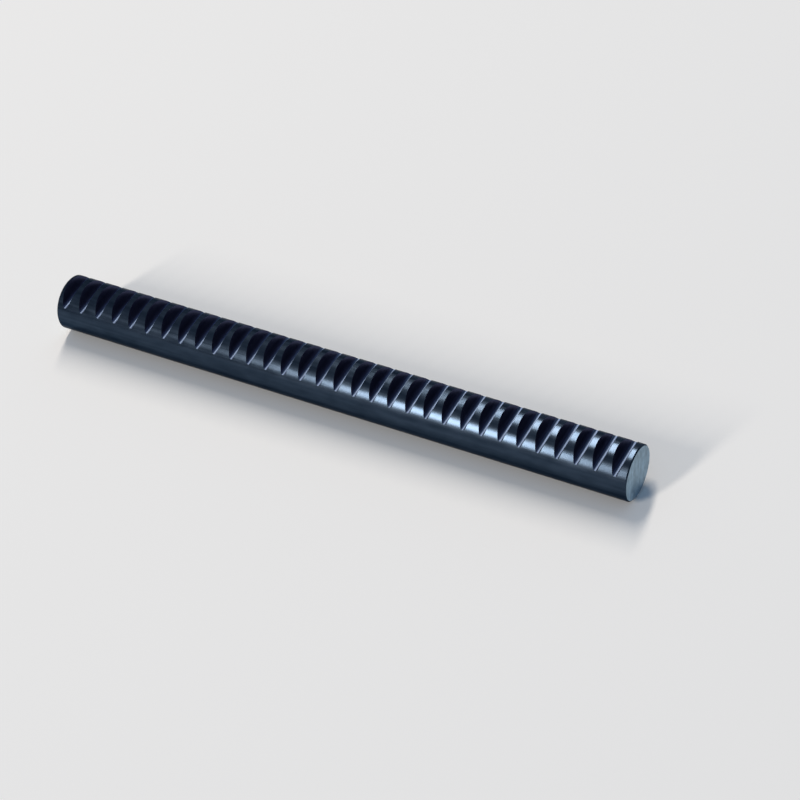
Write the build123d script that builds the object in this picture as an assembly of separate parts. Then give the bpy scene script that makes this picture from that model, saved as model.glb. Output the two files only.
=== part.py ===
import os
from math import floor, pi, radians, tan

from build123d import *

# Gear rack: straight teeth cut across a round steel bar
# +X runs along the bar and +Z points up through the tooth crests
# The origin lies under the middle of the bar, on the surface that it rests on

# Driving dimensions, in millimetres and degrees
module = 5.0
pressure_angle = 20.0
bar_diameter = 45.0
bar_length = 505.0
pitch_line_height = 40.0
dedendum = 6.25
root_fillet = 1.9
end_chamfer = 1.0
end_to_first_space = 10.0
least_end_to_space = 6.0
cutter_run_out = 4.0

# The largest share of the room between two flanks that the root fillets may fill
fillet_share = 0.95

# Sizes that follow from them
bar_radius = bar_diameter / 2
pitch = pi * module
flank_slope = tan(radians(pressure_angle))
root_height = pitch_line_height - dedendum
cutter_top = bar_diameter + cutter_run_out
cutter_length = bar_diameter + 2 * cutter_run_out
first_space = bar_length / 2 - end_to_first_space
space_count = floor((bar_length - end_to_first_space - least_end_to_space) / pitch) + 1


def space_half_width(height):
    """Half the gap between two teeth at a height above the floor."""
    return pitch / 4 + (height - pitch_line_height) * flank_slope


def make_bar():
    """The round bar, lying along X with both end rims chamfered."""
    bar = Pos(0, 0, bar_radius) * Rot(0, 90, 0) * Cylinder(bar_radius, bar_length)
    rims = bar.edges().filter_by(GeomType.CIRCLE)
    return chamfer(rims, end_chamfer)


def make_space():
    """The material that the cutter takes out between two teeth, centred on X = 0."""
    root_half = space_half_width(root_height)
    top_half = space_half_width(cutter_top)
    corner_angle = radians(90 + pressure_angle)
    fillet_limit = fillet_share * root_half * tan(corner_angle / 2)
    outline = Polyline(
        (-root_half, root_height),
        (root_half, root_height),
        (top_half, cutter_top),
        (-top_half, cutter_top),
        close=True,
    )
    section = make_face(outline)
    root_corners = section.vertices().sort_by(Axis.Y)[:2]
    section = fillet(root_corners, min(root_fillet, fillet_limit))
    return extrude(Plane.XZ * section, cutter_length / 2, both=True)


def make_round_rack():
    """The bar with its row of tooth spaces, counted from the +X end."""
    space = make_space()
    return make_bar() - [Pos(first_space - index * pitch, 0, 0) * space for index in range(space_count)]


os.makedirs("parts", exist_ok=True)
rack = make_round_rack()
export_step(rack, "parts/round_rack.step")
print("spaces", space_count, "pitch", round(pitch, 3), "root height", root_height)
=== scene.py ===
from math import asin, cos, pi, radians, sin, tan

import bpy
from mathutils import Matrix, Vector


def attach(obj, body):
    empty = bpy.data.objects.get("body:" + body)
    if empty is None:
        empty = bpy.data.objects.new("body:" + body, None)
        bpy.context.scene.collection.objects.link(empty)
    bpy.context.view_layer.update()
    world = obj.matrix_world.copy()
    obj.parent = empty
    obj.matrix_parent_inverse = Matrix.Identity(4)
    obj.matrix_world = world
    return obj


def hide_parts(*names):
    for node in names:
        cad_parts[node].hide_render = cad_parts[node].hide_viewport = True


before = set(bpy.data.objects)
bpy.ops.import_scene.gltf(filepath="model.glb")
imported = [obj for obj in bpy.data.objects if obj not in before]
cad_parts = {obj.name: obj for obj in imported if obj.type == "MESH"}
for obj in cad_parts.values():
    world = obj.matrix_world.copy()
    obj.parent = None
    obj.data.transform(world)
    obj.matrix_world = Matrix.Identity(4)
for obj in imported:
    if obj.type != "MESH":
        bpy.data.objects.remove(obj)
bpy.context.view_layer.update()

# Sizes of the rack, in metres and degrees, the same as in part.py
module = 0.005
pressure_angle = 20.0
bar_diameter = 0.045
bar_length = 0.505
pitch_line_height = 0.040
dedendum = 0.00625
root_fillet = 0.0019
end_chamfer = 0.001
end_to_first_space = 0.010
space_count = 32

# Fineness of the mesh
flank_steps = 44
fillet_steps = 6
body_steps = 168
merge_digits = 7

# The small rounding of every cut edge
edge_break = 0.00025
edge_steps = 3
sharp_angle = 30.0

# Sizes that follow from them
bar_radius = bar_diameter / 2
half_length = bar_length / 2
chamfer_start = half_length - end_chamfer
pitch = pi * module
flank_slope = tan(radians(pressure_angle))
root_height = pitch_line_height - dedendum
root_half_width = pitch / 4 - dedendum * flank_slope
first_space = half_length - end_to_first_space

# Finishes, in the order of the mesh's material slots
SKIN, FLANK, ROOT, FACE, EDGE = range(5)

# Where the photograph was taken from, with the azimuth counted from the front
camera_aim = Vector((0.05213, -0.00005, 0.02355))
camera_distance = 1.9881
camera_azimuth = 32.81
camera_elevation = 44.23
camera_roll = -7.29
camera_lens = 115.75
sensor_width = 36.0

# Slightly warm lamps in slightly cool surroundings, neutral where they meet on the floor
lamp_colour = (1.20, 1.0, 0.83)
world_colour = (0.76, 0.98, 1.28)
world_strength = 0.22

# Lamps that face the bar's axis, each with its place along X, its elevation counted from the
# front horizon, its size in metres and its power in watts
lamp_distance = 12.0
softboxes = {
    "front_softbox": {"x": -4.63, "elevation": 31.3, "size": (1.18, 4.85), "power": 740.0},
    "back_softbox": {"x": -3.86, "elevation": 119.5, "size": (1.19, 9.21), "power": 897.3},
}

# The floor
floor_half_width = 8.0
floor_colour = (0.862, 0.938, 0.988)
floor_roughness = 0.9

# Detail and roughness of the noise behind each layer of marks on the steel
fine_noise = (4.0, 0.6)
broad_noise = (3.0, 0.5)
mottle_noise = (4.0, 0.55)

# The mottle's share beside the broad streaks, and the parts of their mix over which a finish
# goes from its first to its second colour and roughness
mottle_share = 0.5
colour_span = (0.35, 0.65)
roughness_span = (0.3, 0.7)
oxide_ior = 1.45


def section_angle(height):
    """Angle round the bar, from its front, of the surface point at a height."""
    return asin(min(1.0, (height - bar_radius) / bar_radius))


def tooth_side():
    """Points (distance from the middle of the space, height, angle) from root to crest."""
    corner = radians(90 + pressure_angle)
    tangent = root_fillet / tan(corner / 2)
    middle = root_half_width - tangent
    sweep = radians(90 - pressure_angle)
    points = []
    for step in range(fillet_steps + 1):
        turn = sweep * step / fillet_steps
        height = root_height + root_fillet * (1 - cos(turn))
        points.append((middle + root_fillet * sin(turn), height, section_angle(height)))
    start = points[-1][2]
    for step in range(1, flank_steps + 1):
        angle = start + (pi / 2 - start) * step / flank_steps
        height = bar_radius * (1 + sin(angle))
        width = pitch / 4 + (height - pitch_line_height) * flank_slope
        points.append((width, height, angle))
    return points


class MeshData:
    """Vertices that are shared where they meet, and faces with their finish."""

    def __init__(self):
        self.places = {}
        self.vertices = []
        self.faces = []
        self.finishes = []

    def vertex(self, x, y, z):
        key = tuple(round(value, merge_digits) for value in (x, y, z))
        if key not in self.places:
            self.places[key] = len(self.vertices)
            self.vertices.append((x, y, z))
        return self.places[key]

    def face(self, finish, *corners):
        found = [self.vertex(*corner) for corner in corners]
        loop = [v for index, v in enumerate(found) if v != found[index - 1]]
        if len(set(loop)) > 2:
            self.faces.append(loop)
            self.finishes.append(finish)


def on_bar(x, angle, radius=bar_radius):
    """Point of the round surface at an angle from its front, over the top, to its back."""
    return (x, -radius * cos(angle), bar_radius + radius * sin(angle))


def space_edges(centres, half_width):
    """X of both chamfers' inner rims, and between them of every tooth space's two edges."""
    edges = [centre + sign * half_width for centre in centres for sign in (-1, 1)]
    return [-chamfer_start] + edges + [chamfer_start]


def add_teeth(data, centres, side):
    """The tooth spaces' flanks and roots, and the lands between them on both sides of the bar."""
    for step, (lower, upper) in enumerate(zip(side, side[1:])):
        finish = ROOT if step < fillet_steps else FLANK
        for centre in centres:
            for sign in (-1, 1):
                low_x, high_x = centre + sign * lower[0], centre + sign * upper[0]
                data.face(
                    finish,
                    on_bar(low_x, lower[2]),
                    on_bar(low_x, pi - lower[2]),
                    on_bar(high_x, pi - upper[2]),
                    on_bar(high_x, upper[2]),
                )
        for low_angle, high_angle in ((lower[2], upper[2]), (pi - lower[2], pi - upper[2])):
            low_row = space_edges(centres, lower[0])
            high_row = space_edges(centres, upper[0])
            for index in range(0, len(low_row), 2):
                data.face(
                    SKIN,
                    on_bar(low_row[index], low_angle),
                    on_bar(low_row[index + 1], low_angle),
                    on_bar(high_row[index + 1], high_angle),
                    on_bar(high_row[index], high_angle),
                )
    for centre in centres:
        left, right = centre - side[0][0], centre + side[0][0]
        angle = side[0][2]
        data.face(
            ROOT,
            on_bar(left, angle),
            on_bar(right, angle),
            on_bar(right, pi - angle),
            on_bar(left, pi - angle),
        )


def body_angles(side):
    """Angles of the uncut part, from the front root edge under the bar to the back one."""
    start, stop = side[0][2], -pi - side[0][2]
    return [start + (stop - start) * step / body_steps for step in range(body_steps + 1)]


def add_body(data, centres, side):
    """The uncut part of the round surface."""
    row = space_edges(centres, side[0][0])
    angles = body_angles(side)
    for first, second in zip(angles, angles[1:]):
        for left, right in zip(row, row[1:]):
            data.face(
                SKIN,
                on_bar(left, first),
                on_bar(right, first),
                on_bar(right, second),
                on_bar(left, second),
            )


def add_ends(data, side):
    """Both chamfered rims and faced ends."""
    angles = [point[2] for point in side]
    angles += [pi - angle for angle in reversed(angles[:-1])]
    angles += [2 * pi + angle for angle in reversed(body_angles(side)[:-1])]
    face_radius = bar_radius - end_chamfer
    for end in (-1, 1):
        face_x, rim_x = end * half_length, end * chamfer_start
        for first, second in zip(angles, angles[1:]):
            data.face(
                SKIN,
                on_bar(rim_x, first),
                on_bar(rim_x, second),
                on_bar(face_x, second, face_radius),
                on_bar(face_x, first, face_radius),
            )
            data.face(
                FACE,
                on_bar(face_x, first, face_radius),
                on_bar(face_x, second, face_radius),
                (face_x, 0.0, bar_radius),
            )


def make_rack():
    """The rack's fine mesh, with every sharp edge slightly rounded."""
    side = tooth_side()
    centres = [first_space - index * pitch for index in reversed(range(space_count))]
    data = MeshData()
    add_teeth(data, centres, side)
    add_body(data, centres, side)
    add_ends(data, side)
    mesh = bpy.data.meshes.new("rack_bar")
    mesh.from_pydata(data.vertices, [], data.faces)
    mesh.polygons.foreach_set("material_index", data.finishes)
    mesh.update()
    rack = bpy.data.objects.new("rack_bar", mesh)
    bpy.context.scene.collection.objects.link(rack)
    bpy.context.view_layer.objects.active = rack
    rack.select_set(True)
    bpy.ops.object.mode_set(mode="EDIT")
    bpy.ops.mesh.select_all(action="SELECT")
    bpy.ops.mesh.normals_make_consistent(inside=False)
    bpy.ops.object.mode_set(mode="OBJECT")
    mesh.shade_smooth()
    bevel = rack.modifiers.new("edge_break", "BEVEL")
    bevel.width = edge_break
    bevel.segments = edge_steps
    bevel.limit_method = "ANGLE"
    bevel.angle_limit = radians(sharp_angle)
    bevel.material = EDGE
    bevel.harden_normals = True
    return rack


def add_node(tree, kind, settings=None, **inputs):
    """A shader node with its settings, and its inputs set or linked, by name or as _NUMBER."""
    node = tree.nodes.new(kind)
    for name, value in (settings or {}).items():
        setattr(node, name, value)
    for name, value in inputs.items():
        numbered = name[1:].isdigit()
        socket = node.inputs[int(name[1:]) if numbered else name.replace("_", " ")]
        if isinstance(value, bpy.types.NodeSocket):
            tree.links.new(value, socket)
        else:
            socket.default_value = value
    return node


def make_floor_material():
    """The floor's plain matt material."""
    material = bpy.data.materials.new("pale_floor")
    material.use_nodes = True
    shader = material.node_tree.nodes["Principled BSDF"]
    shader.inputs["Base Color"].default_value = (*floor_colour, 1)
    shader.inputs["Roughness"].default_value = floor_roughness
    shader.inputs["Specular IOR Level"].default_value = 0.0
    return material


def streaks(tree, scales, character, position):
    """Noise from 0 to 1, drawn out along the axis with the smallest scale."""
    detail, roughness = character
    stretched = add_node(
        tree,
        "ShaderNodeMapping",
        {"vector_type": "POINT"},
        Vector=position,
        Scale=scales,
    )
    noise = add_node(
        tree,
        "ShaderNodeTexNoise",
        Vector=stretched.outputs["Vector"],
        Scale=1.0,
        Detail=detail,
        Roughness=roughness,
    )
    return noise.outputs["Fac"]


def make_oxide(name, look):
    """Black-oxide steel whose marks run along one direction."""
    material = bpy.data.materials.new(name)
    material.use_nodes = True
    tree = material.node_tree
    shader = tree.nodes["Principled BSDF"]
    position = add_node(tree, "ShaderNodeTexCoord").outputs["Object"]
    fine = streaks(tree, look["fine"], fine_noise, position)
    broad = streaks(tree, look["broad"], broad_noise, position)
    mottle = streaks(tree, look["mottle"], mottle_noise, position)
    blend = add_node(
        tree,
        "ShaderNodeMix",
        {"data_type": "FLOAT"},
        _0=mottle_share,
        _2=broad,
        _3=mottle,
    )
    ramp = add_node(tree, "ShaderNodeValToRGB", Fac=blend.outputs[0])
    for element, place, shade in zip(ramp.color_ramp.elements, colour_span, ("dark", "light")):
        element.position = place
        element.color = (*look[shade], 1)
    tree.links.new(ramp.outputs["Color"], shader.inputs["Base Color"])
    rough = add_node(
        tree,
        "ShaderNodeMapRange",
        Value=blend.outputs[0],
        From_Min=roughness_span[0],
        From_Max=roughness_span[1],
        To_Min=look["roughness"][0],
        To_Max=look["roughness"][1],
    )
    tree.links.new(rough.outputs["Result"], shader.inputs["Roughness"])
    fine_bump = add_node(
        tree,
        "ShaderNodeBump",
        Strength=look["bump"],
        Distance=look["depth"],
        Height=fine,
    )
    broad_bump = add_node(
        tree,
        "ShaderNodeBump",
        Strength=look["bump"],
        Distance=look["broad_depth"],
        Height=broad,
        Normal=fine_bump.outputs["Normal"],
    )
    tree.links.new(broad_bump.outputs["Normal"], shader.inputs["Normal"])
    around = add_node(tree, "ShaderNodeTangent", {"direction_type": "RADIAL", "axis": "X"})
    tree.links.new(around.outputs["Tangent"], shader.inputs["Tangent"])
    shader.inputs["Anisotropic"].default_value = look["anisotropy"]
    shader.inputs["Metallic"].default_value = look["metallic"]
    shader.inputs["IOR"].default_value = oxide_ior
    shader.inputs["Specular IOR Level"].default_value = look["specular"]
    shader.inputs["Specular Tint"].default_value = (*look["tint"], 1)
    return material


# What each finish looks like, in the order of the mesh's material slots: streak scales per metre
# along X, Y and Z, then colours, roughness and the depth of its marks in metres
looks = {
    "drawn_skin": {
        "fine": (12.0, 2600.0, 2600.0),
        "broad": (5.0, 420.0, 420.0),
        "mottle": (60.0, 160.0, 160.0),
        "dark": (0.019, 0.032, 0.053),
        "light": (0.036, 0.056, 0.088),
        "roughness": (0.17, 0.25),
        "bump": 0.5,
        "depth": 0.000012,
        "broad_depth": 0.000024,
        "anisotropy": 0.7,
        "metallic": 0.9,
        "specular": 0.0,
        "tint": (0.44, 0.45, 0.47),
    },
    "milled_flanks": {
        "fine": (2400.0, 10.0, 2400.0),
        "broad": (500.0, 6.0, 500.0),
        "mottle": (180.0, 60.0, 180.0),
        "dark": (0.044, 0.048, 0.094),
        "light": (0.070, 0.078, 0.136),
        "roughness": (0.30, 0.42),
        "bump": 0.5,
        "depth": 0.000008,
        "broad_depth": 0.000014,
        "anisotropy": 0.0,
        "metallic": 0.9,
        "specular": 0.0,
        "tint": (0.50, 0.50, 0.50),
    },
    "milled_roots": {
        "fine": (2400.0, 10.0, 2400.0),
        "broad": (500.0, 6.0, 500.0),
        "mottle": (180.0, 60.0, 180.0),
        "dark": (0.058, 0.089, 0.156),
        "light": (0.108, 0.158, 0.262),
        "roughness": (0.38, 0.48),
        "bump": 0.5,
        "depth": 0.000008,
        "broad_depth": 0.000014,
        "anisotropy": 0.0,
        "metallic": 1.0,
        "specular": 0.5,
        "tint": (1.0, 1.0, 1.0),
    },
    "faced_ends": {
        "fine": (900.0, 3200.0, 60.0),
        "broad": (300.0, 520.0, 30.0),
        "mottle": (120.0, 260.0, 160.0),
        "dark": (0.145, 0.225, 0.295),
        "light": (0.33, 0.48, 0.60),
        "roughness": (0.38, 0.52),
        "bump": 0.5,
        "depth": 0.000016,
        "broad_depth": 0.000024,
        "anisotropy": 0.0,
        "metallic": 1.0,
        "specular": 0.5,
        "tint": (1.0, 1.0, 1.0),
    },
    "rubbed_edges": {
        "fine": (900.0, 900.0, 900.0),
        "broad": (220.0, 220.0, 220.0),
        "mottle": (90.0, 160.0, 160.0),
        "dark": (0.040, 0.058, 0.090),
        "light": (0.120, 0.155, 0.210),
        "roughness": (0.26, 0.36),
        "bump": 0.4,
        "depth": 0.000008,
        "broad_depth": 0.000008,
        "anisotropy": 0.0,
        "metallic": 0.8,
        "specular": 0.5,
        "tint": (0.8, 0.8, 0.8),
    },
}


def add_camera():
    """The camera at the photograph's viewing angle."""
    azimuth, elevation, roll = map(radians, (camera_azimuth, camera_elevation, camera_roll))
    forward = Vector(
        (-sin(azimuth) * cos(elevation), cos(azimuth) * cos(elevation), -sin(elevation))
    )
    right = Vector((cos(azimuth), sin(azimuth), 0.0))
    up = right.cross(forward)
    rolled_right = cos(roll) * right + sin(roll) * up
    rolled_up = cos(roll) * up - sin(roll) * right
    data = bpy.data.cameras.new("camera")
    data.lens = camera_lens
    data.sensor_width = sensor_width
    camera = bpy.data.objects.new("camera", data)
    turn = Matrix((rolled_right, rolled_up, -forward)).transposed().to_4x4()
    camera.matrix_world = Matrix.Translation(camera_aim - forward * camera_distance) @ turn
    bpy.context.scene.collection.objects.link(camera)
    bpy.context.scene.camera = camera


def add_softbox(name, x, elevation, size, power):
    """A rectangular softbox that faces the bar's axis at a place along it."""
    turn = radians(elevation)
    target = Vector((x, 0.0, bar_radius))
    place = target + lamp_distance * Vector((0.0, -cos(turn), sin(turn)))
    data = bpy.data.lights.new(name, "AREA")
    data.color = lamp_colour
    data.shape = "RECTANGLE"
    data.size, data.size_y = size
    data.energy = power
    lamp = bpy.data.objects.new(name, data)
    lamp.location = place
    lamp.rotation_mode = "QUATERNION"
    lamp.rotation_quaternion = (place - target).to_track_quat("Z", "Y")
    bpy.context.scene.collection.objects.link(lamp)


def add_world():
    """Even pale surroundings, a little cooler than the lamps."""
    world = bpy.data.worlds.new("world")
    world.use_nodes = True
    background = world.node_tree.nodes["Background"]
    background.inputs["Color"].default_value = (*world_colour, 1)
    background.inputs["Strength"].default_value = world_strength
    bpy.context.scene.world = world


def make_floor():
    """The level floor that the bar lies on."""
    signs = ((-1, -1), (1, -1), (1, 1), (-1, 1))
    corners = [(x * floor_half_width, y * floor_half_width, 0) for x, y in signs]
    mesh = bpy.data.meshes.new("floor")
    mesh.from_pydata(corners, [], [(0, 1, 2, 3)])
    mesh.materials.append(make_floor_material())
    plane = bpy.data.objects.new("floor", mesh)
    bpy.context.scene.collection.objects.link(plane)
    return plane


add_camera()
add_world()
for lamp_name, softbox in softboxes.items():
    add_softbox(lamp_name, **softbox)

floor = make_floor()

rack = make_rack()
for finish_name, look in looks.items():
    rack.data.materials.append(make_oxide(finish_name, look))
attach(rack, "root")
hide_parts("round_rack")

bpy.context.scene.view_settings.view_transform = "Standard"
